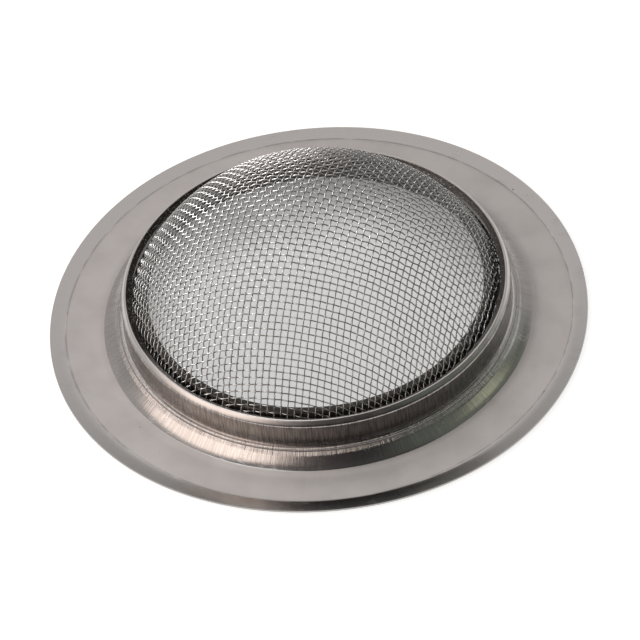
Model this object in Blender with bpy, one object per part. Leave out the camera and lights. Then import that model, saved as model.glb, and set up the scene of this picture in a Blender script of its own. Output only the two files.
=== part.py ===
"""Sink strainer: a pressed steel rim with a raised collar that holds a woven wire dome.

It is modelled as it lies upside down: the rim is flat on the ground at z = 0, the collar
rises from it and the mesh domes upwards. Metres, +Z up, origin under the centre of the dome.
"""
import bmesh
import bpy
import numpy as np
from math import acos, atan2, ceil, cos, pi, radians, sin, sqrt, tan

# Pressed sheet of the rim and the collar
SHEET = 0.00040
RIM_RADIUS = 0.0570
EDGE_WIDTH = 0.0034
EDGE_RISE_ANGLE = radians(9.0)
COVE_RADIUS = 0.0055
COVE_REACH = 0.0021
BEAD_STAND = 0.00085
BEAD_BEND = 0.00036
BEAD_HEIGHT = 0.0006
BEAD_LIFT = 0.00224
COLLAR_RADIUS = 0.04105
NECK_BEND = 0.00030
NECK_RISE = 0.4
COLLAR_HEIGHT = 0.01070
LIP_CHAMFER = 0.0007
LIP_TURN_DOWN = 0.0005
LIP_BEND = 0.00036

# Woven wire dome, drawn with coarser wires than the real cloth
DOME_RISE = 0.0220
WEAVE_ANGLE = radians(-17.5)
WIRE_PITCH = 0.0088
WIRE_DIAMETER = 0.0008
WIRE_WAVE = 0.00016
WIRE_SIDES = 5
BORDER_HEIGHT = 0.0020
BORDER_BELOW_LIP = 0.0045

# Ring inside the mesh that clamps its border against the collar
RING_SHEET = 0.00040
RING_SHELF = 0.0009
RING_BELOW_LIP = 0.0011
RING_FOOT_DROP = 0.0016
RING_MOUTH_TURN = 0.0008
RING_BEND = 0.00036

# Clearance that touching pieces keep, and the smoothness of the turned pieces
CLEARANCE = 0.0003
TURN_SEGMENTS = 52
ARC_TOLERANCE = 0.00004
SMALLEST_ARC = radians(15.0)

# The border lies one clearance inside the collar, and the dome is the ball cap that rises from
# the border's middle to its top
MESH_HALF_DEPTH = WIRE_DIAMETER / 2 + WIRE_WAVE
BORDER_DEPTH = 2 * MESH_HALF_DEPTH + CLEARANCE
BORDER_OUTER = COLLAR_RADIUS - SHEET - CLEARANCE
BORDER_MIDDLE = BORDER_OUTER - BORDER_DEPTH / 2
BORDER_Z = COLLAR_HEIGHT - BORDER_BELOW_LIP
DOME_TOP = COLLAR_HEIGHT + DOME_RISE
DOME_RADIUS = (BORDER_MIDDLE ** 2 + (DOME_TOP - BORDER_Z) ** 2) / (2 * (DOME_TOP - BORDER_Z))
DOME_CENTRE_Z = DOME_TOP - DOME_RADIUS


def turn_at(before, corner, after):
    """Angle by which a line turns at a corner, left turns positive."""
    arriving = corner - before
    leaving = after - corner
    return atan2(arriving[0] * leaving[1] - arriving[1] * leaving[0], arriving.dot(leaving))


def round_corners(corners):
    """Turn corner points (r, z, bend radius) into a line whose corners are arcs.

    Where two arcs would not fit on the leg between them, both are made smaller.
    """
    places = [np.array(corner[:2]) for corner in corners]
    turns = [0.0] + [turn_at(*places[k - 1:k + 2]) for k in range(1, len(places) - 1)] + [0.0]
    setbacks = [corner[2] * abs(tan(turn / 2)) for corner, turn in zip(corners, turns)]
    legs = [np.linalg.norm(after - before) for before, after in zip(places, places[1:])]
    fits = [min(1.0, leg / max(leg, a + b)) for leg, a, b in zip(legs, setbacks, setbacks[1:])]
    points = [places[0]]
    for k in range(1, len(places) - 1):
        if abs(turns[k]) < SMALLEST_ARC:
            points.append(places[k])
            continue
        bend = corners[k][2] * min(fits[k - 1], fits[k])
        back = (places[k - 1] - places[k]) / legs[k - 1]
        start = places[k] + back * bend * abs(tan(turns[k] / 2))
        arm = np.array([-back[1], back[0]]) * bend * np.sign(turns[k])
        steps = ceil(abs(turns[k]) / (2 * acos(1 - min(1.0, ARC_TOLERANCE / bend))))
        for step in range(steps + 1):
            angle = turns[k] * step / steps
            swung = np.array([arm[0] * cos(angle) - arm[1] * sin(angle),
                              arm[0] * sin(angle) + arm[1] * cos(angle)])
            points.append(start - arm + swung)
    points.append(places[-1])
    apart = [np.linalg.norm(after - before) > ARC_TOLERANCE / 4 for before, after in zip(points, points[1:])]
    return np.array(points[:1] + [point for point, far in zip(points[1:], apart) if far])


def thicken(line, thickness):
    """Give a section line its sheet thickness: half to each side, as one closed outline."""
    along = np.diff(line, axis=0)
    along /= np.linalg.norm(along, axis=1)[:, None]
    sideways = np.stack([-along[:, 1], along[:, 0]], axis=1)
    first = np.vstack([sideways[:1], sideways])
    second = np.vstack([sideways, sideways[-1:]])
    mitre = first + second
    mitre /= (1 + np.sum(first * second, axis=1))[:, None]
    return np.vstack([line + mitre * thickness / 2, (line - mitre * thickness / 2)[::-1]])


def turned(outline, segments=TURN_SEGMENTS):
    """Spin a closed (r, z) outline about the Z axis into a ring-shaped solid."""
    shape = bmesh.new()
    rings = []
    for step in range(segments):
        angle = 2 * pi * step / segments
        rings.append([shape.verts.new((r * cos(angle), r * sin(angle), z)) for r, z in outline])
    for ring, following in zip(rings, rings[1:] + rings[:1]):
        for low in range(len(outline)):
            high = (low + 1) % len(outline)
            shape.faces.new((ring[low], ring[high], following[high], following[low]))
    bmesh.ops.recalc_face_normals(shape, faces=shape.faces)
    return shape


def steel(name, colour, roughness):
    """A steel material with its own tone."""
    material = bpy.data.materials.new(name)
    material.use_nodes = True
    surface = material.node_tree.nodes["Principled BSDF"]
    surface.inputs["Base Color"].default_value = (*colour, 1.0)
    surface.inputs["Metallic"].default_value = 1.0
    surface.inputs["Roughness"].default_value = roughness
    return material


def add_object(name, shape, material=None):
    """Put a bmesh into the scene as one object."""
    mesh = bpy.data.meshes.new(name)
    shape.to_mesh(mesh)
    shape.free()
    if material:
        mesh.materials.append(material)
    mesh.shade_smooth()
    mesh.set_sharp_from_angle(angle=radians(40.0))
    item = bpy.data.objects.new(name, mesh)
    bpy.context.scene.collection.objects.link(item)
    return item


def dome_height(radius, distance=0.0):
    """Height of the dome's middle surface, moved outwards by a distance, at a radius."""
    return DOME_CENTRE_Z + sqrt((DOME_RADIUS + distance) ** 2 - radius ** 2)


def dome_reach(height, distance=0.0):
    """Radius of the dome's middle surface, moved outwards by a distance, at a height."""
    return sqrt((DOME_RADIUS + distance) ** 2 - (height - DOME_CENTRE_Z) ** 2)


def collar_line():
    """Section line of the pressed sheet, from the bent-up outer edge to the lip's turned-down edge."""
    half = SHEET / 2
    edge = RIM_RADIUS - half * sin(EDGE_RISE_ANGLE)
    neck = COLLAR_RADIUS - half
    bead = neck + BEAD_STAND
    bead_low = half + BEAD_LIFT
    bead_high = bead_low + BEAD_HEIGHT
    top = COLLAR_HEIGHT - half
    lip_foot = top - LIP_TURN_DOWN
    lip = dome_reach(lip_foot, MESH_HALF_DEPTH + CLEARANCE) + half
    return round_corners([
        (edge, half + EDGE_WIDTH * tan(EDGE_RISE_ANGLE), 0),
        (edge - EDGE_WIDTH, half, 0),
        (bead + COVE_REACH, half, COVE_RADIUS),
        (bead, bead_low, BEAD_BEND),
        (bead, bead_high, BEAD_BEND),
        (neck, bead_high + BEAD_STAND * NECK_RISE, NECK_BEND),
        (neck, top - LIP_CHAMFER, LIP_BEND),
        (neck - LIP_CHAMFER, top, LIP_BEND / 2),
        (lip, top, LIP_BEND),
        (lip, lip_foot, 0),
    ])


def ring_line():
    """Section line of the clamp ring: mouth edge, shelf, slope along the dome and skirt."""
    half = RING_SHEET / 2
    inward = -(MESH_HALF_DEPTH + CLEARANCE + half)
    shelf = COLLAR_HEIGHT - RING_BELOW_LIP - half
    shelf_edge = dome_reach(shelf, inward)
    skirt = BORDER_OUTER - BORDER_DEPTH - CLEARANCE - half
    foot = BORDER_Z - BORDER_HEIGHT / 2 - RING_FOOT_DROP
    return round_corners([
        (shelf_edge - RING_SHELF, shelf - RING_MOUTH_TURN, 0),
        (shelf_edge - RING_SHELF, shelf, RING_BEND),
        (shelf_edge, shelf, RING_BEND),
        (skirt, dome_height(skirt, inward), RING_BEND),
        (skirt, foot, 0),
    ])


def woven_net(step, reach):
    """Points of a cloth draped on the unit sphere: every mesh side keeps the same length.

    The two middle wires follow great circles through the top. Each further knot is its
    diagonal neighbour mirrored in the plane of the two knots beside it.
    """
    def middle(turns, azimuth):
        angle = turns * step
        return np.array([sin(angle) * cos(azimuth), sin(angle) * sin(azimuth), cos(angle)])

    net = {}
    for way in (-1, 1):
        for turns in range(reach + 1):
            net[way * turns, 0] = middle(way * turns, WEAVE_ANGLE)
            net[0, way * turns] = middle(way * turns, WEAVE_ANGLE + pi / 2)
    for side in (-1, 1):
        for way in (-1, 1):
            for i in range(1, reach + 1):
                for j in range(1, reach + 1):
                    beside = net[side * (i - 1), way * j]
                    below = net[side * i, way * (j - 1)]
                    inner = net[side * (i - 1), way * (j - 1)]
                    across = np.cross(beside, below)
                    across /= np.linalg.norm(across)
                    net[side * i, way * j] = inner - 2 * inner.dot(across) * across
    return net


def wire_paths(along_first):
    """Run of each wire of one direction, over and under the other, down to the border."""
    steps_per_cell = 2
    step = WIRE_PITCH / steps_per_cell / DOME_RADIUS
    edge_angle = atan2(BORDER_MIDDLE, BORDER_Z - DOME_CENTRE_Z)
    reach = int(edge_angle / step) + 2
    net = woven_net(step, reach)
    phase = 1 if along_first else -1
    paths = []
    for wire in range(-reach, reach + 1):
        if wire % steps_per_cell:
            continue
        points = []
        for knot in range(-reach, reach + 1):
            direction = net[(knot, wire) if along_first else (wire, knot)]
            wave = phase * (-1) ** (wire // steps_per_cell) * cos(pi * knot / steps_per_cell)
            points.append((direction, wave))
        inside = [k for k, (direction, _) in enumerate(points) if direction[2] > cos(edge_angle)]
        if len(inside) < 2:
            continue
        first, last = inside[0], inside[-1]
        run = [cut_at_border(points[first], points[first - 1], cos(edge_angle))]
        run += points[first:last + 1]
        run.append(cut_at_border(points[last], points[last + 1], cos(edge_angle)))
        paths.append(run)
    return paths


def cut_at_border(inner, outer, edge_cosine):
    """Point between two knots where a wire reaches the middle of the border."""
    share = (inner[0][2] - edge_cosine) / (inner[0][2] - outer[0][2])
    direction = inner[0] + share * (outer[0] - inner[0])
    return direction / np.linalg.norm(direction), 0.0


def add_wire(shape, run):
    """One round wire along a run of directions, with capped ends."""
    centres = [direction * (DOME_RADIUS + wave * WIRE_WAVE) for direction, wave in run]
    rings = []
    for index, centre in enumerate(centres):
        ahead = centres[min(index + 1, len(centres) - 1)] - centres[max(index - 1, 0)]
        ahead /= np.linalg.norm(ahead)
        side = np.cross(ahead, run[index][0])
        side /= np.linalg.norm(side)
        up = np.cross(side, ahead)
        ring = []
        for corner in range(WIRE_SIDES):
            angle = 2 * pi * (corner + 0.5) / WIRE_SIDES
            offset = (side * cos(angle) + up * sin(angle)) * WIRE_DIAMETER / 2
            x, y, z = centre + offset
            ring.append(shape.verts.new((x, y, z + DOME_CENTRE_Z)))
        rings.append(ring)
    for ring, following in zip(rings, rings[1:]):
        for corner in range(WIRE_SIDES):
            beside = (corner + 1) % WIRE_SIDES
            shape.faces.new((ring[corner], ring[beside], following[beside], following[corner]))
    shape.faces.new(rings[0])
    shape.faces.new(rings[-1])


def wire_set(along_first):
    """All wires of one direction."""
    shape = bmesh.new()
    for run in wire_paths(along_first):
        add_wire(shape, run)
    bmesh.ops.recalc_face_normals(shape, faces=shape.faces)
    return shape


def border_outline():
    """Section of the pressed border that all wires end in."""
    inner = BORDER_OUTER - BORDER_DEPTH
    low = BORDER_Z - BORDER_HEIGHT / 2
    high = BORDER_Z + BORDER_HEIGHT / 2
    return [(inner, low), (BORDER_OUTER, low), (BORDER_OUTER, high), (inner, high)]


def join_by_union(item, tool):
    """Fuse a helper object into an item and remove the helper."""
    union = item.modifiers.new("Union", "BOOLEAN")
    union.operation = "UNION"
    union.solver = "EXACT"
    union.object = tool
    evaluated = item.evaluated_get(bpy.context.evaluated_depsgraph_get())
    joined = bpy.data.meshes.new_from_object(evaluated)
    item.modifiers.remove(union)
    item.data = joined
    bpy.data.objects.remove(tool)


def make_rim_and_collar():
    """Bent-up outer edge, flange, bead, collar and lip, pressed from one sheet."""
    shape = turned(thicken(collar_line(), SHEET))
    return add_object("rim_and_collar", shape, steel("satin_steel", (0.62, 0.60, 0.58), 0.28))


def make_clamp_ring():
    """Ring of thin sheet inside the mesh."""
    shape = turned(thicken(ring_line(), RING_SHEET))
    return add_object("clamp_ring", shape, steel("ring_steel", (0.50, 0.49, 0.48), 0.32))


def make_mesh_basket():
    """Woven dome: two sets of wires and the border, fused where they cross."""
    basket = add_object("mesh_basket", wire_set(True), steel("wire_steel", (0.70, 0.69, 0.67), 0.25))
    join_by_union(basket, add_object("second_set", wire_set(False)))
    join_by_union(basket, add_object("border", turned(border_outline())))
    return basket


for leftover in list(bpy.data.objects):
    bpy.data.objects.remove(leftover)
make_rim_and_collar()
make_clamp_ring()
make_mesh_basket()
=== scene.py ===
# %% [markdown]
# A kitchen sink strainer, lying upside down. It is a round pressed steel rim with a bent edge,
# a collar that stands up from it, and a dome of woven wire that the collar's rolled lip holds
# against a ring inside. Nothing on it moves, so every piece rides on the one body, "root".
# The solids of the frame give the places. This script makes the fine surfaces: the rounded
# folds of the sheet, every wire of the cloth, and the wear and the streaks of used steel.

# %% Load the frame
from math import acos, atan2, ceil, cos, pi, radians, sin, sqrt, tan

import bpy
import numpy as np
from mathutils import Matrix, Vector


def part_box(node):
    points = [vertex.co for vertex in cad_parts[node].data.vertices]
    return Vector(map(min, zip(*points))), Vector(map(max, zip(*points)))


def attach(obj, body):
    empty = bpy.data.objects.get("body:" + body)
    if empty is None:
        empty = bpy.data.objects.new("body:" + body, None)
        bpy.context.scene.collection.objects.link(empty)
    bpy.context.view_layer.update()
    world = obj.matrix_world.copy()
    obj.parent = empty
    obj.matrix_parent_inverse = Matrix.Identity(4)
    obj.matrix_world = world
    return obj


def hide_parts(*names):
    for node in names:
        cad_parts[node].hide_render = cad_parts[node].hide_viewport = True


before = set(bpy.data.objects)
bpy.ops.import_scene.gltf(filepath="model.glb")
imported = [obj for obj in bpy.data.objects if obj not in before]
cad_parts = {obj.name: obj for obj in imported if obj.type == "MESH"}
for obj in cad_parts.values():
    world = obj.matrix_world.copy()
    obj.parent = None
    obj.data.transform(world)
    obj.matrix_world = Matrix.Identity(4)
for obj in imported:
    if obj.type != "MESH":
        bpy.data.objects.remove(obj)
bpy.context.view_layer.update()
RIM_NODE = "rim_and_collar"
MESH_NODE = "mesh_basket"
RING_NODE = "clamp_ring"
print("nodes", sorted(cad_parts))

# %% [markdown]
# The sizes come from the frame where it gives them: the rim's radius, the collar's height and
# the ring's place are read from the nodes' boxes. The folds of the sheet are too small for a box
# to show, so they are named here, in metres, as a toolmaker would put them on a drawing.

# %% Sizes
RIM_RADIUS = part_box(RIM_NODE)[1][0]
COLLAR_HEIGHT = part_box(RIM_NODE)[1][2]
SHEET = 0.00040
EDGE_WIDTH = 0.0034
EDGE_RISE_ANGLE = radians(10.0)
COVE_RADIUS = 0.0065
COVE_REACH = 0.0036
BEAD_STAND = 0.00085
BEAD_BEND = 0.00036
BEAD_HEIGHT = 0.0006
BEAD_LIFT = 0.0026
COLLAR_RADIUS = 0.04105
NECK_BEND = 0.00030
NECK_RISE = 0.2
LIP_CHAMFER = 0.0013
LIP_TURN_DOWN = 0.0005
LIP_DROP = 0.00055
LIP_BEND = 0.0008
LIP_FOOT_RADIUS = 0.03898
print("rim radius", round(RIM_RADIUS, 5), "collar height", round(COLLAR_HEIGHT, 5))

# %% [markdown]
# The camera looks down at 45 degrees through a long lens from a metre and a half away, so the round
# rim shows as an ellipse with hardly any perspective. It is rolled a little, which makes the
# whole strainer lean to the left in the picture. Aiming slightly past the origin sets the
# framing without shifting the lens.

# %% Camera
CAMERA_DISTANCE = 1.50
CAMERA_ELEVATION = radians(45.2)
CAMERA_ROLL = radians(-6.37)
PIXELS_PER_METRE = 4748.5
PICTURE_PIXELS = 640
SENSOR_WIDTH = 36.0
AIM_RIGHT = 0.00020
AIM_DOWN = 0.00067

back = Vector((0.0, -cos(CAMERA_ELEVATION), sin(CAMERA_ELEVATION)))
right = Vector((1.0, 0.0, 0.0))
up = back.cross(right)
camera_data = bpy.data.cameras.new("camera")
camera_data.sensor_width = SENSOR_WIDTH
camera_data.lens = PIXELS_PER_METRE * CAMERA_DISTANCE * SENSOR_WIDTH / PICTURE_PIXELS
camera_data.clip_end = 10.0
camera = bpy.data.objects.new("camera", camera_data)
turned_axes = Matrix((right, up, back)).transposed() @ Matrix.Rotation(CAMERA_ROLL, 3, "Z")
aim = turned_axes @ Vector((AIM_RIGHT, -AIM_DOWN, 0.0))
camera.matrix_world = Matrix.Translation(aim + back * CAMERA_DISTANCE) @ turned_axes.to_4x4()
bpy.context.scene.collection.objects.link(camera)
bpy.context.scene.camera = camera
bpy.context.scene.view_settings.view_transform = "Standard"
print("lens", round(camera_data.lens, 1), "mm")

# %% [markdown]
# Polished and satin steel shows its surroundings more than its own colour, so the room matters
# as much as the metal. These small helpers wire up shader nodes: each one adds a node, sets what
# it is given and returns the socket to use next.

# %% Node helpers
def place(tree, kind, **settings):
    """Add a node and set its properties."""
    item = tree.nodes.new(kind)
    for name, value in settings.items():
        setattr(item, name, value)
    return item


def feed(tree, socket, value):
    """Link a socket to another, or set its plain value."""
    if isinstance(value, bpy.types.NodeSocket):
        tree.links.new(value, socket)
    else:
        socket.default_value = value


def calculate(tree, operation, *values):
    """A Math node on its values."""
    item = place(tree, "ShaderNodeMath", operation=operation)
    for socket, value in zip(item.inputs, values):
        feed(tree, socket, value)
    return item.outputs[0]


def product(tree, *values):
    """All values multiplied."""
    result = values[0]
    for value in values[1:]:
        result = calculate(tree, "MULTIPLY", result, value)
    return result


def total(tree, *values):
    """All values added."""
    result = values[0]
    for value in values[1:]:
        result = calculate(tree, "ADD", result, value)
    return result


def vector_step(tree, operation, *values):
    """A Vector Math node. Dot product and length come out as a number."""
    item = place(tree, "ShaderNodeVectorMath", operation=operation)
    for socket, value in zip(item.inputs, values):
        feed(tree, socket, value)
    number = operation in {"DOT_PRODUCT", "LENGTH"}
    return item.outputs["Value" if number else "Vector"]


def ramp(tree, value, low, high, out_low=0.0, out_high=1.0):
    """Smooth step of a value between two limits."""
    item = place(tree, "ShaderNodeMapRange", interpolation_type="SMOOTHSTEP")
    for socket, number in zip(item.inputs, (value, low, high, out_low, out_high)):
        feed(tree, socket, number)
    return item.outputs["Result"]


def blend_colour(tree, amount, first, second):
    """Mix two colours by an amount."""
    item = place(tree, "ShaderNodeMix", data_type="RGBA")
    feed(tree, item.inputs["Factor"], amount)
    feed(tree, item.inputs["A"], first)
    feed(tree, item.inputs["B"], second)
    return item.outputs["Result"]


def new_group(name, inputs, outputs):
    """An empty node group with named number and vector sockets."""
    kinds = {"number": "NodeSocketFloat", "vector": "NodeSocketVector"}
    tree = bpy.data.node_groups.new(name, "ShaderNodeTree")
    for label, kind in inputs.items():
        tree.interface.new_socket(name=label, in_out="INPUT", socket_type=kinds[kind])
    for label, kind in outputs.items():
        tree.interface.new_socket(name=label, in_out="OUTPUT", socket_type=kinds[kind])
    start = place(tree, "NodeGroupInput")
    end = place(tree, "NodeGroupOutput")
    return tree, start.outputs, end.inputs


def use_group(tree, group, **values):
    """Place a group in a material and feed its inputs; spaces in a label become underscores."""
    item = place(tree, "ShaderNodeGroup", node_tree=group)
    for label, value in values.items():
        feed(tree, item.inputs[label.replace("_", " ")], value)
    return item.outputs


# %% [markdown]
# The room is painted into the world shader as soft panels round the strainer, each over the ones
# before it. A panel is a disc of light or shade in one direction: a bright wall behind, the dark
# ceiling and the dim near side of the room, which the front of the collar mirrors, a warm window
# on the left, a greenish side with two small windows on the right, and a small skylight.

# %% World
def panel_direction(azimuth, elevation):
    """Unit direction; azimuth 0 is +X (right), 90 is +Y (behind the strainer)."""
    a, e = radians(azimuth), radians(elevation)
    return (cos(e) * cos(a), cos(e) * sin(a), sin(e))


def room_panel_group():
    """Mask of a soft disc round a direction: 1 inside the inner angle, 0 outside the outer one."""
    tree, given, result = new_group(
        "room_panel",
        {"View": "vector", "Towards": "vector", "Inner cosine": "number", "Outer cosine": "number"},
        {"Mask": "number"})
    closeness = vector_step(tree, "DOT_PRODUCT", given["View"], given["Towards"])
    feed(tree, result["Mask"], ramp(tree, closeness, given["Outer cosine"], given["Inner cosine"]))
    return tree


ROOM_TONE = (0.36, 0.35, 0.345, 1.0)
ROOM_PANELS = [
    # azimuth, elevation, inner angle, outer angle, colour
    (90, 36, 42, 60, (0.44, 0.42, 0.41, 1.0)),
    (90, 58, 16, 32, (0.98, 0.935, 0.92, 1.0)),
    (-84, 68, 36, 41, (0.035, 0.033, 0.035, 1.0)),
    (-78, 28, 42, 52, (0.028, 0.026, 0.028, 1.0)),
    (201, 38, 26, 33, (1.90, 1.64, 1.49, 1.0)),
    (-4, 34, 32, 44, (0.12, 0.135, 0.115, 1.0)),
    (8, 44, 6, 12, (0.56, 0.585, 0.43, 1.0)),
    (22, 16, 6, 11, (0.90, 0.93, 0.88, 1.0)),
    (70, 77, 3, 5, (0.75, 0.74, 0.60, 1.0)),
]
room_panel = room_panel_group()
world = bpy.data.worlds.new("room")
world.use_nodes = True
room = world.node_tree
room.nodes.clear()
towards = place(room, "ShaderNodeTexCoord").outputs["Generated"]
shade = ROOM_TONE
for azimuth, elevation, inner, outer, colour in ROOM_PANELS:
    mask = use_group(room, room_panel, View=towards, Towards=panel_direction(azimuth, elevation),
                     Inner_cosine=cos(radians(inner)), Outer_cosine=cos(radians(outer)))["Mask"]
    shade = blend_colour(room, mask, shade, colour)
sky = place(room, "ShaderNodeBackground")
feed(room, sky.inputs["Color"], shade)
room.links.new(sky.outputs[0], place(room, "ShaderNodeOutputWorld").inputs["Surface"])
bpy.context.scene.world = world
print("room panels", len(ROOM_PANELS))

# %% [markdown]
# Three windows give the glints on the upper side of the wires, and a small card near the strainer
# lifts the front of the flange. Light linking keeps each lamp to its own pieces, because on the
# smooth wall a window would show as a blob. Pieces join these two collections further down.

# %% Lamps
wires_only = bpy.data.collections.new("wires_only")
sheet_only = bpy.data.collections.new("sheet_only")


def add_window(name, spot, width, height, energy, lit):
    """White rectangular area lamp, in watts, aimed at the strainer. It lights one collection."""
    data = bpy.data.lights.new(name, "AREA")
    data.shape = "RECTANGLE"
    data.size = width
    data.size_y = height
    data.energy = energy
    lamp = bpy.data.objects.new(name, data)
    lamp.location = spot
    lamp.rotation_euler = Vector(spot).to_track_quat("Z", "Y").to_euler()
    bpy.context.scene.collection.objects.link(lamp)
    lamp.light_linking.receiver_collection = lit


add_window("window_left", panel_direction(128, 26), 0.50, 0.34, 7.6, wires_only)
add_window("window_side", panel_direction(172, 36), 0.80, 0.60, 3.4, wires_only)
add_window("window_right", panel_direction(50, 20), 0.20, 0.20, 0.9, wires_only)
add_window("card_above", (-0.045, 0.040, 0.225), 0.12, 0.08, 0.060, sheet_only)
print("lamps", [item.name for item in bpy.data.lights])

# %% [markdown]
# The floor is white paper. Part of its brightness is its own, for camera, glossy and transmission
# rays, so that it reads as white to the eye and in the metal. The rest is lit, so that the
# strainer's shadow stays on it. The photograph is a cut-out: round the rim the table was made
# white, and through the mesh its real grey still shows. A round grey sheet under the dome stands
# for that table. Its grey is partly the table's and partly painted shade of the dome, and its glow
# fades towards the collar as painted shade.

# %% Floor
FLOOR_RADIUS = 6.0
FLOOR_LEVEL = -0.0002
TABLE_RADIUS = 0.052
TABLE_LEVEL = -0.0001
# painted shade: the grey table's glow fades between the first and the last radius
TABLE_SHADE = {"centre": (0.0, -0.008, 0.0), "first": 0.027, "last": 0.056, "least": 0.3}
DISC_CORNERS = 96


def glowing_paper(name, colour, glow, shade=None):
    """Matt paper with a light of its own, which painted shade weakens from a first radius to a
    last.
    """
    paper = bpy.data.materials.new(name)
    paper.use_nodes = True
    tree = paper.node_tree
    tree.nodes.clear()
    lit = place(tree, "ShaderNodeBsdfDiffuse")
    lit.inputs["Color"].default_value = (colour, colour, colour, 1.0)
    shine = place(tree, "ShaderNodeEmission")
    ray = place(tree, "ShaderNodeLightPath").outputs
    seen = calculate(tree, "MAXIMUM", ray["Is Camera Ray"], calculate(
        tree, "MAXIMUM", ray["Is Glossy Ray"], ray["Is Transmission Ray"]))
    strength = product(tree, seen, glow)
    if shade:
        own = place(tree, "ShaderNodeTexCoord").outputs["Object"]
        spot = vector_step(tree, "SUBTRACT", own, shade["centre"])
        reach = ramp(tree, vector_step(tree, "LENGTH", spot), shade["last"], shade["first"])
        share = total(tree, shade["least"], product(tree, reach, 1 - shade["least"]))
        strength = product(tree, strength, share)
    feed(tree, shine.inputs["Strength"], strength)
    both = place(tree, "ShaderNodeAddShader")
    tree.links.new(lit.outputs[0], both.inputs[0])
    tree.links.new(shine.outputs[0], both.inputs[1])
    tree.links.new(both.outputs[0], place(tree, "ShaderNodeOutputMaterial").inputs["Surface"])
    return paper


def flat_disc(name, radius, level, paper):
    """A level disc of the stage."""
    turns = [2 * pi * k / DISC_CORNERS for k in range(DISC_CORNERS)]
    corners = [(radius * cos(turn), radius * sin(turn), level) for turn in turns]
    mesh = bpy.data.meshes.new(name)
    mesh.from_pydata(corners, [], [tuple(range(DISC_CORNERS))])
    mesh.materials.append(paper)
    disc = bpy.data.objects.new(name, mesh)
    bpy.context.scene.collection.objects.link(disc)


flat_disc("floor", FLOOR_RADIUS, FLOOR_LEVEL, glowing_paper("white_paper", 0.6, 0.78))
flat_disc("table_under_mesh", TABLE_RADIUS, TABLE_LEVEL,
          glowing_paper("grey_paper", 0.30, 0.52, TABLE_SHADE))
print("floor radius", FLOOR_RADIUS, "m, grey table radius", TABLE_RADIUS, "m")

# %% [markdown]
# Every mark on the pressed sheet follows the turning of the rim or runs up the collar, so the
# patterns need the angle, the radius and the height of a point. One group works them out in
# millimetres from the object's own coordinates and the other groups start from it.

# %% Ring coordinates
MILLIMETRES = 1000.0


def ring_place_group():
    """A point's unit direction from the axis, its radius, its height and itself, in mm."""
    tree, _, result = new_group(
        "ring_place", {},
        {"Direction": "vector", "Radius": "number", "Height": "number", "Point": "vector"})
    own = place(tree, "ShaderNodeTexCoord").outputs["Object"]
    point = vector_step(tree, "MULTIPLY", own, (MILLIMETRES,) * 3)
    flat = vector_step(tree, "MULTIPLY", point, (1.0, 1.0, 0.0))
    split = place(tree, "ShaderNodeSeparateXYZ")
    tree.links.new(point, split.inputs[0])
    feed(tree, result["Direction"], vector_step(tree, "NORMALIZE", flat))
    feed(tree, result["Radius"], vector_step(tree, "LENGTH", flat))
    feed(tree, result["Height"], split.outputs["Z"])
    feed(tree, result["Point"], point)
    return tree


ring_place = ring_place_group()
print("ring_place gives", [item.name for item in ring_place.interface.items_tree])

# %% [markdown]
# Pressing and turning leave fine lines. On the upright collar they run up the wall, where the
# sheet was drawn through the die, and on the flange they run round. Both come from one noise
# that is squeezed one way: stretching its coordinates makes lines of any length and fineness.

# %% Lines, pits and scratches
def noise(tree, vector, scale, detail=2.0, roughness=0.5):
    """Noise value between 0 and 1 at a vector."""
    item = place(tree, "ShaderNodeTexNoise")
    item.inputs["Scale"].default_value = scale
    item.inputs["Detail"].default_value = detail
    item.inputs["Roughness"].default_value = roughness
    feed(tree, item.inputs["Vector"], vector)
    return item.outputs[0]


def drawn_lines_group():
    """Fine lines: Round sets how many go round the ring, Out and Up how fast they change."""
    tree, given, result = new_group(
        "drawn_lines", {"Round": "number", "Out": "number", "Up": "number"}, {"Value": "number"})
    where = use_group(tree, ring_place)
    around = vector_step(tree, "SCALE", where["Direction"])
    feed(tree, around.node.inputs["Scale"], given["Round"])
    rise = place(tree, "ShaderNodeCombineXYZ")
    feed(tree, rise.inputs["Z"], total(tree, product(tree, where["Height"], given["Up"]),
                                       product(tree, where["Radius"], given["Out"])))
    spot = vector_step(tree, "ADD", around, rise.outputs[0])
    feed(tree, result["Value"], noise(tree, spot, 1.0, 3.0, 0.6))
    return tree


def pits_group():
    """Small dark pits: Mask is 1 inside one. Only some cells of the pattern hold a pit."""
    tree, given, result = new_group(
        "pits", {"Spacing": "number", "Size": "number", "Share": "number"}, {"Mask": "number"})
    where = use_group(tree, ring_place)
    cells = place(tree, "ShaderNodeTexVoronoi")
    feed(tree, cells.inputs["Vector"], where["Point"])
    feed(tree, cells.inputs["Scale"], calculate(tree, "DIVIDE", 1.0, given["Spacing"]))
    pick = place(tree, "ShaderNodeSeparateColor")
    tree.links.new(cells.outputs["Color"], pick.inputs[0])
    chosen = calculate(tree, "LESS_THAN", pick.outputs[0], given["Share"])
    reach = product(tree, cells.outputs["Distance"], given["Spacing"])
    size = product(tree, given["Size"], total(tree, pick.outputs[1], 0.4))
    inside = ramp(tree, reach, size, product(tree, size, 0.4))
    feed(tree, result["Mask"], product(tree, chosen, inside))
    return tree


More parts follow.
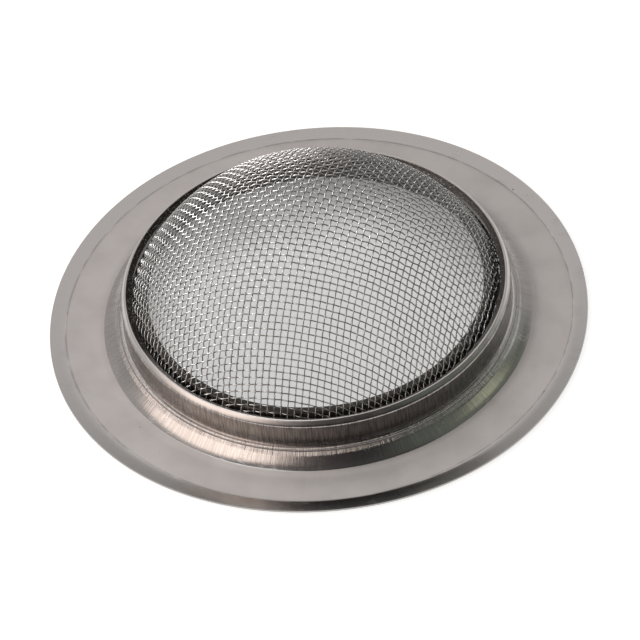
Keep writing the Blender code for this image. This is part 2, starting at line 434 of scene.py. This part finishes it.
def scratches_group():
    """Thin stray scratches in one direction, broken up so that each is short."""
    tree, given, result = new_group(
        "scratches", {"Turn": "number", "Amount": "number"}, {"Mask": "number"})
    where = use_group(tree, ring_place)
    turned = place(tree, "ShaderNodeVectorRotate", rotation_type="Z_AXIS")
    tree.links.new(where["Point"], turned.inputs["Vector"])
    feed(tree, turned.inputs["Angle"], given["Turn"])
    bent = vector_step(tree, "ADD", turned.outputs[0], vector_step(
        tree, "SCALE", vector_step(tree, "NORMALIZE", turned.outputs[0])))
    squeezed = vector_step(tree, "MULTIPLY", bent, (0.10, 1.6, 0.3))
    cells = place(tree, "ShaderNodeTexVoronoi", feature="DISTANCE_TO_EDGE")
    tree.links.new(squeezed, cells.inputs["Vector"])
    cells.inputs["Scale"].default_value = 1.0
    thin = ramp(tree, cells.outputs["Distance"], 0.035, 0.0)
    patches = ramp(tree, noise(tree, where["Point"], 0.22, 1.0), 0.56, 0.70)
    feed(tree, result["Mask"], product(tree, thin, patches, given["Amount"]))
    return tree


drawn_lines = drawn_lines_group()
pits = pits_group()
scratches = scratches_group()
print("shader groups", [group.name for group in bpy.data.node_groups])

# %% [markdown]
# Materials. The rim's satin steel is warm grey with faint stains. It is rough on the rubbed
# flange, less so on the lip and the cove, and smooth on the drawn wall and the bent edge. Pits,
# scratches and drawn lines dent the normal. A dark line of painted shade lies where the edge bends.
# Dirt and painted shade darken the lip's inner edge at the sides and the back, and the ring's shelf
# under the cloth is painted dark as shade. All of it is plain metal, so that value is set on the
# shader itself.

# %% Steels of the rim, the ring and the wire
def start_metal(name):
    """A metal material: itself, its node tree and its Principled shader."""
    material = bpy.data.materials.new(name)
    material.use_nodes = True
    surface = material.node_tree.nodes["Principled BSDF"]
    surface.inputs["Metallic"].default_value = 1.0
    return material, material.node_tree, surface


def bump(tree, height, distance, strength=1.0, before=None):
    """A Bump node, its distance in metres, on top of an earlier one if given."""
    item = place(tree, "ShaderNodeBump")
    item.inputs["Strength"].default_value = strength
    item.inputs["Distance"].default_value = distance
    feed(tree, item.inputs["Height"], height)
    if before is not None:
        tree.links.new(before, item.inputs["Normal"])
    return item.outputs[0]


def band_mask(tree, value, low, high, soft):
    """1 between two limits with soft ends."""
    rising = ramp(tree, value, low - soft, low + soft)
    falling = ramp(tree, value, high + soft, high - soft)
    return product(tree, rising, falling)


SATIN_LIGHT = (0.62, 0.60, 0.59, 1.0)
SATIN_DARK = (0.56, 0.54, 0.53, 1.0)
WALL_TONE = (0.42, 0.395, 0.385, 1.0)
WALL_STREAK_TONE = (0.24, 0.225, 0.215, 1.0)
EDGE_TONE = (0.40, 0.393, 0.383, 1.0)
# painted shade: the dark line along the bend where the edge rises
CREASE_SHADE_TONE = (0.16, 0.155, 0.15, 1.0)
# dirt in the pits, and dirt with painted shade on the lip's inner edge
GRIME_AND_SHADE_TONE = (0.05, 0.045, 0.04, 1.0)
RING_DARK = (0.28, 0.27, 0.26, 1.0)
RING_LIGHT = (0.46, 0.45, 0.44, 1.0)
# painted shade: the ring's shelf under the lip
SHELF_SHADE_TONE = (0.10, 0.095, 0.09, 1.0)
WIRE_LIGHT = (0.43, 0.424, 0.418, 1.0)
WIRE_DARK = (0.33, 0.325, 0.32, 1.0)
COLLAR_MM = COLLAR_RADIUS * MILLIMETRES
COLLAR_TOP_MM = COLLAR_HEIGHT * MILLIMETRES
WALL_FOOT_MM = 3.8
LIP_INNER_MM = (38.0, 39.95)
SHELF_MM = (39.2, 38.8)
FLANGE_INNER_MM = 45.4
FLANGE_OUTER_MM = (RIM_RADIUS - EDGE_WIDTH) * MILLIMETRES


def satin_steel():
    """Worn satin steel of the pressed sheet."""
    material, tree, surface = start_metal("satin_steel")
    where = use_group(tree, ring_place)

    # which part of the sheet a point is on
    on_collar = band_mask(tree, where["Radius"], COLLAR_MM - 1.0, COLLAR_MM + 0.3, 0.15)
    on_wall = band_mask(tree, where["Height"], WALL_FOOT_MM, COLLAR_TOP_MM - 1.0, 0.3)
    upright = product(tree, on_collar, on_wall)
    bead = band_mask(tree, where["Radius"], COLLAR_MM + 0.2, COLLAR_MM + 1.6, 0.25)
    cove = band_mask(tree, where["Radius"], COLLAR_MM + 0.6, FLANGE_INNER_MM - 0.3, 0.4)
    flat = band_mask(tree, where["Radius"], FLANGE_INNER_MM, FLANGE_OUTER_MM, 0.15)
    edge = ramp(tree, where["Radius"], FLANGE_OUTER_MM, FLANGE_OUTER_MM + 0.3)
    rolled = ramp(tree, where["Height"], COLLAR_TOP_MM - 1.5, COLLAR_TOP_MM - 1.0)

    # patterns
    around = use_group(tree, drawn_lines, Round=14.0, Out=7.0, Up=7.0)["Value"]
    streaks = use_group(tree, drawn_lines, Round=150.0, Out=0.0, Up=0.25)["Value"]
    ticks = use_group(tree, drawn_lines, Round=190.0, Out=0.1, Up=0.1)["Value"]
    holes = calculate(tree, "MAXIMUM",
                      use_group(tree, pits, Spacing=4.0, Size=0.20, Share=0.20)["Mask"],
                      use_group(tree, pits, Spacing=1.9, Size=0.11, Share=0.07)["Mask"])
    first = use_group(tree, scratches, Turn=0.5, Amount=1.0)["Mask"]
    second = use_group(tree, scratches, Turn=2.1, Amount=0.8)["Mask"]
    scratched = calculate(tree, "MAXIMUM", first, second)
    cloudy = noise(tree, where["Point"], 0.09, 3.0)

    # colour
    tone = blend_colour(tree, ramp(tree, cloudy, 0.35, 0.7), SATIN_LIGHT, SATIN_DARK)
    streaked = ramp(tree, streaks, 0.40, 0.62)
    wall_tone = blend_colour(tree, streaked, WALL_TONE, WALL_STREAK_TONE)
    tone = blend_colour(tree, upright, tone, wall_tone)
    tone = blend_colour(tree, product(tree, cove, streaked, 0.22), tone, WALL_STREAK_TONE)
    tone = blend_colour(tree, edge, tone, EDGE_TONE)
    # painted shade: a dark line along the edge's bend, broken up by noise
    crease_shade = band_mask(tree, where["Radius"], FLANGE_OUTER_MM - 0.18, FLANGE_OUTER_MM + 0.16, 0.20)
    broken = ramp(tree, noise(tree, where["Point"], 0.25, 3.0), 0.30, 0.60, 0.25, 0.65)
    tone = blend_colour(tree, product(tree, crease_shade, broken), tone, CREASE_SHADE_TONE)
    tone = blend_colour(tree, holes, tone, GRIME_AND_SHADE_TONE)
    # dirt and painted shade: the lip's inner edge is darkened at the sides and the back
    side = place(tree, "ShaderNodeSeparateXYZ")
    tree.links.new(where["Direction"], side.inputs[0])
    lip_inside = product(tree, band_mask(tree, where["Radius"], *LIP_INNER_MM, 0.15),
                         ramp(tree, where["Height"], COLLAR_TOP_MM - 1.4, COLLAR_TOP_MM - 1.2))
    dirt_and_shade_patches = ramp(tree, noise(tree, where["Point"], 2.6, 4.0, 0.65), 0.22, 0.48)
    at_back = product(tree, ramp(tree, side.outputs["Y"], -0.62, -0.30),
                      ramp(tree, side.outputs["X"], 0.1, 0.6, 1.0, 0.85))
    grime_and_shade = product(tree, lip_inside, dirt_and_shade_patches, at_back)
    tone = blend_colour(tree, grime_and_shade, tone, GRIME_AND_SHADE_TONE)
    feed(tree, surface.inputs["Base Color"], tone)

    # roughness
    rough = 0.07
    for mask, amount in ((streaks, 0.12), (flat, 0.44), (edge, 0.03), (rolled, 0.18),
                         (cove, 0.10), (scratched, 0.08), (grime_and_shade, 0.4)):
        rough = total(tree, rough, product(tree, mask, amount))
    feed(tree, surface.inputs["Roughness"], rough)

    # dents
    normal = bump(tree, around, 0.000012, 0.35)
    normal = bump(tree, product(tree, streaks, upright), 0.00005, 1.0, normal)
    normal = bump(tree, product(tree, streaks, cove), 0.000018, 1.0, normal)
    normal = bump(tree, product(tree, ticks, bead), 0.00014, 1.0, normal)
    marks = total(tree, holes, product(tree, scratched, 0.2))
    normal = bump(tree, calculate(tree, "SUBTRACT", 1.0, marks), 0.00005, 0.8, normal)
    tree.links.new(normal, surface.inputs["Normal"])
    return material


def ring_steel():
    """Duller steel of the clamp ring, with lines that run round and a shelf painted dark as shade.
    """
    material, tree, surface = start_metal("ring_steel")
    around = use_group(tree, drawn_lines, Round=10.0, Out=9.0, Up=9.0)["Value"]
    tone = blend_colour(tree, around, RING_DARK, RING_LIGHT)
    # painted shade: the shelf under the lip is given a dark tone
    shelf = ramp(tree, use_group(tree, ring_place)["Radius"], *SHELF_MM)
    tone = blend_colour(tree, shelf, tone, SHELF_SHADE_TONE)
    feed(tree, surface.inputs["Base Color"], tone)
    feed(tree, surface.inputs["Roughness"], ramp(tree, around, 0.2, 0.8, 0.28, 0.45))
    tree.links.new(bump(tree, around, 0.00002, 0.5), surface.inputs["Normal"])
    return material


def wire_steel():
    """Bright drawn wire, slightly stained from place to place."""
    material, tree, surface = start_metal("wire_steel")
    own = place(tree, "ShaderNodeTexCoord").outputs["Object"]
    point = vector_step(tree, "MULTIPLY", own, (MILLIMETRES,) * 3)
    cloudy = noise(tree, point, 0.12, 2.0)
    grain = noise(tree, point, 5.0, 2.0)
    tone = blend_colour(tree, ramp(tree, cloudy, 0.35, 0.7), WIRE_LIGHT, WIRE_DARK)
    feed(tree, surface.inputs["Base Color"], tone)
    feed(tree, surface.inputs["Roughness"], ramp(tree, grain, 0.3, 0.7, 0.16, 0.30))
    return material


RIM_STEEL = satin_steel()
RING_STEEL = ring_steel()
WIRE_STEEL = wire_steel()
print("materials", [item.name for item in (RIM_STEEL, RING_STEEL, WIRE_STEEL)])

# %% [markdown]
# The rim and collar are one sheet, pressed and spun, so the shape is one section line turned
# about the axis. The line runs down the middle of the sheet through corner points with a bend
# radius each, and it is given half the sheet's thickness to each side. Long straight runs are
# divided, so that dents and ripples have points to move.

# %% Section lines
ARC_TOLERANCE = 0.000004
SMALLEST_ARC = radians(4.0)


def turn_at(before, corner, after):
    """Angle by which a line turns at a corner, left turns positive."""
    arriving = corner - before
    leaving = after - corner
    return atan2(arriving[0] * leaving[1] - arriving[1] * leaving[0], arriving.dot(leaving))


def round_corners(corners, longest):
    """Corner points (r, z, bend radius) as a line with arcs and no leg over the longest one."""
    places = [np.array(corner[:2]) for corner in corners]
    turns = [0.0] + [turn_at(*places[k - 1:k + 2]) for k in range(1, len(places) - 1)] + [0.0]
    setbacks = [corner[2] * abs(tan(turn / 2)) for corner, turn in zip(corners, turns)]
    legs = [np.linalg.norm(after - before) for before, after in zip(places, places[1:])]
    fits = [min(1.0, leg / max(leg, a + b)) for leg, a, b in zip(legs, setbacks, setbacks[1:])]
    points = [places[0]]
    for k in range(1, len(places) - 1):
        bend = corners[k][2] * min(fits[k - 1], fits[k])
        if abs(turns[k]) < SMALLEST_ARC or bend == 0:
            points.append(places[k])
            continue
        back_along = (places[k - 1] - places[k]) / legs[k - 1]
        start = places[k] + back_along * bend * abs(tan(turns[k] / 2))
        arm = np.array([-back_along[1], back_along[0]]) * bend * np.sign(turns[k])
        steps = ceil(abs(turns[k]) / (2 * acos(1 - min(1.0, ARC_TOLERANCE / bend))))
        for step in range(steps + 1):
            angle = turns[k] * step / steps
            swung = np.array([arm[0] * cos(angle) - arm[1] * sin(angle),
                              arm[0] * sin(angle) + arm[1] * cos(angle)])
            points.append(start - arm + swung)
    points.append(places[-1])
    line = [points[0]]
    for point in points[1:]:
        leg = np.linalg.norm(point - line[-1])
        if leg < ARC_TOLERANCE:
            continue
        pieces = ceil(leg / longest)
        before = line[-1]
        line += [before + (point - before) * (piece + 1) / pieces for piece in range(pieces)]
    return np.array(line)


def thicken(line, thickness):
    """Half the sheet's thickness to each side of a line, as one closed outline."""
    along = np.diff(line, axis=0)
    along /= np.linalg.norm(along, axis=1)[:, None]
    sideways = np.stack([-along[:, 1], along[:, 0]], axis=1)
    first = np.vstack([sideways[:1], sideways])
    second = np.vstack([sideways, sideways[-1:]])
    mitre = first + second
    mitre /= (1 + np.sum(first * second, axis=1))[:, None]
    return np.vstack([line + mitre * thickness / 2, (line - mitre * thickness / 2)[::-1]])


# %% [markdown]
# Used sheet is never quite round or flat. A few low waves push the rim's edge in and out by up to
# three tenths of a millimetre, short ripples lie where the edge was bent, and slow bumps bend the
# reflections on the wall. All of them are sums of sines, so the ring closes on itself.

# %% Dents and ripples
# each rim wave: how many round the ring, size, phase
RIM_WAVES = ((3, 0.00017, radians(144)), (4, 0.00019, radians(-160)))
RIM_LEAN = 0.00018
FLEX_START = 0.046
WRINKLES_AT = radians(150)
WRINKLES_SPREAD = 0.3
EDGE_RIPPLE = 0.000004
EDGE_DROOP = 0.00022
FLANGE_WARP = 0.00004
WALL_SLOW_BUMPS = 0.000018
WALL_FINE_BUMPS = 0.0000015


def waves(angles, counts, seed):
    """Sum of sines round the ring with random phases and even strength, about -1 to 1."""
    phases = np.random.default_rng(seed).uniform(0, 2 * pi, len(counts))
    total = sum(np.sin(count * angles + phase) for count, phase in zip(counts, phases))
    return total / sqrt(len(counts))


def step_up(values, low, high):
    """Smooth step from 0 to 1 between two limits."""
    share = np.clip((values - low) / (high - low), 0.0, 1.0)
    return share * share * (3 - 2 * share)


def bend_sheet(angles, radii, heights):
    """Move the turned sheet's points as use and pressing have moved them."""
    flex = step_up(radii, FLEX_START, RIM_RADIUS)
    push = sum(size * np.cos(count * angles + phase) for count, size, phase in RIM_WAVES)
    push = push - RIM_LEAN * np.sin(angles)
    band = step_up(radii, RIM_RADIUS - EDGE_WIDTH - 0.0004, RIM_RADIUS - EDGE_WIDTH + 0.0006)
    from_wrinkles = np.angle(np.exp(1j * (angles - WRINKLES_AT)))
    strength = 0.25 + 2.0 * np.exp(-(from_wrinkles / WRINKLES_SPREAD) ** 2)
    ripple = waves(angles, range(60, 130, 3), 3) * strength
    wall = step_up(heights, 0.0036, 0.0052)
    slow = waves(angles, range(5, 24, 2), 5)
    fine = waves(angles, range(90, 200, 7), 7)
    moved_radii = radii + push * flex + wall * (slow * WALL_SLOW_BUMPS + fine * WALL_FINE_BUMPS)
    droop = band * (0.5 + 0.5 * np.sin(angles)) * EDGE_DROOP
    warp = waves(angles, (2, 3, 5), 11) * flex * FLANGE_WARP
    moved_heights = heights - droop + band * ripple * EDGE_RIPPLE + warp
    return moved_radii, moved_heights


def turned_sheet(name, outline, segments, bend=None):
    """Turn an outline about the axis into a closed ring, dented by bend if given."""
    angles = np.repeat(np.arange(segments) * 2 * pi / segments, len(outline))
    radii = np.tile(outline[:, 0], segments)
    heights = np.tile(outline[:, 1], segments)
    if bend:
        radii, heights = bend(angles, radii, heights)
    points = np.stack([radii * np.cos(angles), radii * np.sin(angles), heights], axis=1)
    count = len(outline)
    ring, low = np.meshgrid(np.arange(segments), np.arange(count), indexing="ij")
    high = (low + 1) % count
    following = (ring + 1) % segments
    faces = np.stack([ring * count + low, following * count + low,
                      following * count + high, ring * count + high], axis=-1).reshape(-1, 4)
    return add_piece(name, points, faces)


def add_piece(name, points, faces):
    """A mesh object from points and four-sided faces, shaded smooth."""
    mesh = bpy.data.meshes.new(name)
    mesh.from_pydata(points.tolist(), [], faces.tolist())
    mesh.validate()
    mesh.shade_smooth()
    mesh.set_sharp_from_angle(angle=radians(50.0))
    item = bpy.data.objects.new(name, mesh)
    bpy.context.scene.collection.objects.link(item)
    return item


def finish_piece(item, material, node):
    """Give a piece its material and body, and hide the solid that it stands for."""
    item.data.materials.append(material)
    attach(item, "root")
    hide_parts(node)
    item.data.calc_loop_triangles()
    print(item.name, len(item.data.loop_triangles), "triangles")


# %% [markdown]
# Now the pressed sheet itself. The corner list below reads from the cut edge, which is bent a
# little towards the dome, in over the flange, up the cove and the bead, and up the wall to the
# rolled lip. In use the strainer is turned over, and the bent edge seals against the sink.

# %% Pressed rim and collar
SHEET_SEGMENTS = 640
LONGEST_LEG = 0.0009
EDGE_BEND = 0.0025


def collar_corners():
    """Corners of the pressed sheet's section, with their bend radii."""
    half = SHEET / 2
    edge = RIM_RADIUS - half * sin(EDGE_RISE_ANGLE)
    neck = COLLAR_RADIUS - half
    bead = neck + BEAD_STAND
    bead_low = half + BEAD_LIFT
    bead_high = bead_low + BEAD_HEIGHT
    top = COLLAR_HEIGHT - half
    lip = LIP_FOOT_RADIUS
    return [
        (edge, half + EDGE_WIDTH * tan(EDGE_RISE_ANGLE), 0),
        (edge - EDGE_WIDTH, half, EDGE_BEND),
        (bead + COVE_REACH, half, COVE_RADIUS),
        (bead, bead_low, BEAD_BEND),
        (bead, bead_high, BEAD_BEND),
        (neck, bead_high + BEAD_STAND * NECK_RISE, NECK_BEND),
        (neck, top - LIP_CHAMFER, LIP_BEND),
        (neck - LIP_CHAMFER * 0.7, top, LIP_BEND),
        (lip + LIP_BEND, top - LIP_DROP, LIP_BEND),
        (lip, top - LIP_DROP - LIP_TURN_DOWN, 0),
    ]


outline = thicken(round_corners(collar_corners(), LONGEST_LEG), SHEET)
sheet_piece = turned_sheet("pressed_rim", outline, SHEET_SEGMENTS, bend_sheet)
finish_piece(sheet_piece, RIM_STEEL, RIM_NODE)
print("outline points", len(outline))

# %% [markdown]
# The cloth is a plain weave, and a dome is pressed into it without cutting, so every mesh side
# keeps its length while the square meshes lean over into diamonds. A net with sides of one
# length on a ball has a simple rule: each knot is its diagonal neighbour mirrored in the plane
# of the two knots beside it. Each wire then follows its row of knots, over and under.

# %% Draped net
WIRE_DIAMETER = 0.00028
WIRE_PITCH = 0.00145
WEAVE_ANGLE = radians(-17.5)
mesh_low, mesh_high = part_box(MESH_NODE)
CAD_WIRE_HALF_DEPTH = 0.00056
BORDER_GAP = 0.00015
BORDER_INSET = 0.0010
DOME_RISE = mesh_high[2] - CAD_WIRE_HALF_DEPTH
BORDER_MIDDLE = mesh_high[0] - CAD_WIRE_HALF_DEPTH - BORDER_GAP
BORDER_Z = mesh_low[2] + BORDER_INSET
DOME_HEIGHT = DOME_RISE - BORDER_Z
DOME_RADIUS = (BORDER_MIDDLE ** 2 + DOME_HEIGHT ** 2) / (2 * DOME_HEIGHT)
DOME_CENTRE_Z = DOME_RISE - DOME_RADIUS
EDGE_ANGLE = atan2(BORDER_MIDDLE, BORDER_Z - DOME_CENTRE_Z)
print("dome radius", round(DOME_RADIUS, 5), "centre z", round(DOME_CENTRE_Z, 5))


def woven_net(step, reach):
    """Unit directions of the knots, as an array indexed by both wire numbers plus reach."""
    size = 2 * reach + 1
    net = np.zeros((size, size, 3))
    numbers = np.arange(-reach, reach + 1) * step
    for axis, azimuth in ((0, WEAVE_ANGLE), (1, WEAVE_ANGLE + pi / 2)):
        away = np.sin(numbers)
        line = np.stack([away * cos(azimuth), away * sin(azimuth), np.cos(numbers)], 1)
        if axis == 0:
            net[:, reach] = line
        else:
            net[reach, :] = line
    for side in (-1, 1):
        for way in (-1, 1):
            for i in range(1, reach + 1):
                for j in range(1, reach + 1):
                    beside = net[reach + side * (i - 1), reach + way * j]
                    below = net[reach + side * i, reach + way * (j - 1)]
                    inner = net[reach + side * (i - 1), reach + way * (j - 1)]
                    across = np.cross(beside, below)
                    across /= np.linalg.norm(across)
                    net[reach + side * i, reach + way * j] = inner - 2 * inner.dot(across) * across
    return net


NET_REACH = int(EDGE_ANGLE * DOME_RADIUS / WIRE_PITCH) + 3
net = woven_net(WIRE_PITCH / DOME_RADIUS, NET_REACH)
print("wires each way", 2 * NET_REACH + 1)

# %% [markdown]
# A woven wire bends over one wire and under the next, so its middle moves in and out of the dome
# by half its thickness. The points between two knots follow a smooth curve through the knots.
# Small slow shifts of the knots keep the cloth from looking drawn.

# %% Wires
POINTS_PER_MESH = 4
WIRE_SIDES = 6
WIRE_SWING = WIRE_DIAMETER * 0.52
KNOT_SHIFT = 0.00006
SHIFT_SCALE = 43.0


def shift_knots(knots):
    """Slow shifts of the knots over the cloth, as handling leaves them."""
    x, y, z = (knots[..., axis] * SHIFT_SCALE for axis in range(3))
    drift_x = np.sin(0.31 * x + 0.17 * y + 1.0) + np.sin(0.83 * y - 0.42 * x + 2.0) * 0.6
    drift_y = np.sin(0.27 * y - 0.22 * x + 4.0) + np.sin(0.91 * x + 0.37 * y + 5.0) * 0.6
    drift_z = np.sin(0.35 * z + 0.2 * x)
    moved = knots + np.stack([drift_x, drift_y, drift_z], axis=-1) * KNOT_SHIFT / DOME_RADIUS
    return moved / np.linalg.norm(moved, axis=-1, keepdims=True)


def smooth_run(knots):
    """Points between knots on a smooth curve, POINTS_PER_MESH to a mesh."""
    padded = np.vstack([2 * knots[0] - knots[1], knots, 2 * knots[-1] - knots[-2]])
    a, b, c, d = padded[:-3], padded[1:-2], padded[2:-1], padded[3:]
    parts = []
    for step in range(POINTS_PER_MESH):
        t = step / POINTS_PER_MESH
        parts.append(0.5 * (2 * b + (c - a) * t + (2 * a - 5 * b + 4 * c - d) * t ** 2
                            + (3 * b - a - 3 * c + d) * t ** 3))
    run = np.stack(parts, axis=1).reshape(-1, 3)
    run = np.vstack([run, knots[-1]])
    return run / np.linalg.norm(run, axis=1)[:, None]


def wire_tube(directions, swing):
    """Ring points of one wire along unit directions, moved in and out by swing."""
    centres = directions * (DOME_RADIUS + swing)[:, None]
    ahead = np.gradient(centres, axis=0)
    ahead /= np.linalg.norm(ahead, axis=1)[:, None]
    side = np.cross(ahead, directions)
    side /= np.linalg.norm(side, axis=1)[:, None]
    outward = np.cross(side, ahead)
    turns = (np.arange(WIRE_SIDES) + 0.5) * 2 * pi / WIRE_SIDES
    ring = side[:, None] * np.cos(turns)[:, None] + outward[:, None] * np.sin(turns)[:, None]
    points = centres[:, None] + ring * WIRE_DIAMETER / 2
    points[..., 2] += DOME_CENTRE_Z
    return points


def wire_set(name, cloth, phase):
    """All wires of one direction as one piece; cloth[k] is the row of knots of wire k."""
    points, faces, offset = [], [], 0
    size = cloth.shape[0]
    lowest = cos(EDGE_ANGLE)
    for wire in range(size):
        inside = np.flatnonzero(cloth[wire, :, 2] > lowest)
        if len(inside) < 3:
            continue
        first, last = max(inside[0] - 1, 0), min(inside[-1] + 1, size - 1)
        run = smooth_run(cloth[wire, first:last + 1])
        knots = first + np.arange(len(run)) / POINTS_PER_MESH
        keep = run[:, 2] > lowest
        swing = WIRE_SWING * phase * (-1) ** wire * np.cos(pi * knots)
        tube = wire_tube(run[keep], swing[keep])
        rings = len(tube)
        points.append(tube.reshape(-1, 3))
        ring, side = np.meshgrid(np.arange(rings - 1), np.arange(WIRE_SIDES), indexing="ij")
        beside = (side + 1) % WIRE_SIDES
        here, ahead = offset + ring * WIRE_SIDES, offset + (ring + 1) * WIRE_SIDES
        quads = np.stack([here + side, here + beside, ahead + beside, ahead + side], axis=-1)
        faces += quads.reshape(-1, 4).tolist()
        faces.append([offset + k for k in reversed(range(WIRE_SIDES))])
        faces.append([offset + (rings - 1) * WIRE_SIDES + k for k in range(WIRE_SIDES)])
        offset += rings * WIRE_SIDES
    mesh = bpy.data.meshes.new(name)
    mesh.from_pydata(np.vstack(points).tolist(), [], faces)
    mesh.shade_smooth()
    item = bpy.data.objects.new(name, mesh)
    bpy.context.scene.collection.objects.link(item)
    return item


cloth = shift_knots(net)
warp = wire_set("warp_wires", cloth.transpose(1, 0, 2), 1)
finish_piece(warp, WIRE_STEEL, MESH_NODE)
weft = wire_set("weft_wires", cloth, -1)
finish_piece(weft, WIRE_STEEL, MESH_NODE)
for wires in (warp, weft):
    wires_only.objects.link(wires)
sheet_only.objects.link(sheet_piece)

# %% [markdown]
# The clamp ring is a thin ring inside the cloth. Through the mesh only its turned-in shelf shows,
# as a line painted dark as shade just inside the lip. From below the whole ring can be seen.

# %% Clamp ring
RING_SHEET = 0.00040
RING_SHELF = 0.0015
RING_BEND = 0.00036
RING_MOUTH_TURN = 0.0008
RING_CLEARANCE = 0.0003
RING_LONGEST_LEG = 0.002
RING_SEGMENTS = 320
ring_low, ring_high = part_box(RING_NODE)


def ring_corners():
    """Corners of the clamp ring's section, with their bend radii."""
    half = RING_SHEET / 2
    inward = DOME_RADIUS - (CAD_WIRE_HALF_DEPTH + RING_CLEARANCE + half)
    shelf = ring_high[2] - half
    shelf_edge = sqrt(inward ** 2 - (shelf - DOME_CENTRE_Z) ** 2)
    skirt = ring_high[0] - half
    return [
        (shelf_edge - RING_SHELF, shelf - RING_MOUTH_TURN, 0),
        (shelf_edge - RING_SHELF, shelf, RING_BEND),
        (shelf_edge, shelf, RING_BEND),
        (skirt, DOME_CENTRE_Z + sqrt(inward ** 2 - skirt ** 2), RING_BEND),
        (skirt, ring_low[2], 0),
    ]


ring_outline = thicken(round_corners(ring_corners(), RING_LONGEST_LEG), RING_SHEET)
ring_piece = turned_sheet("inner_ring", ring_outline, RING_SEGMENTS)
finish_piece(ring_piece, RING_STEEL, RING_NODE)
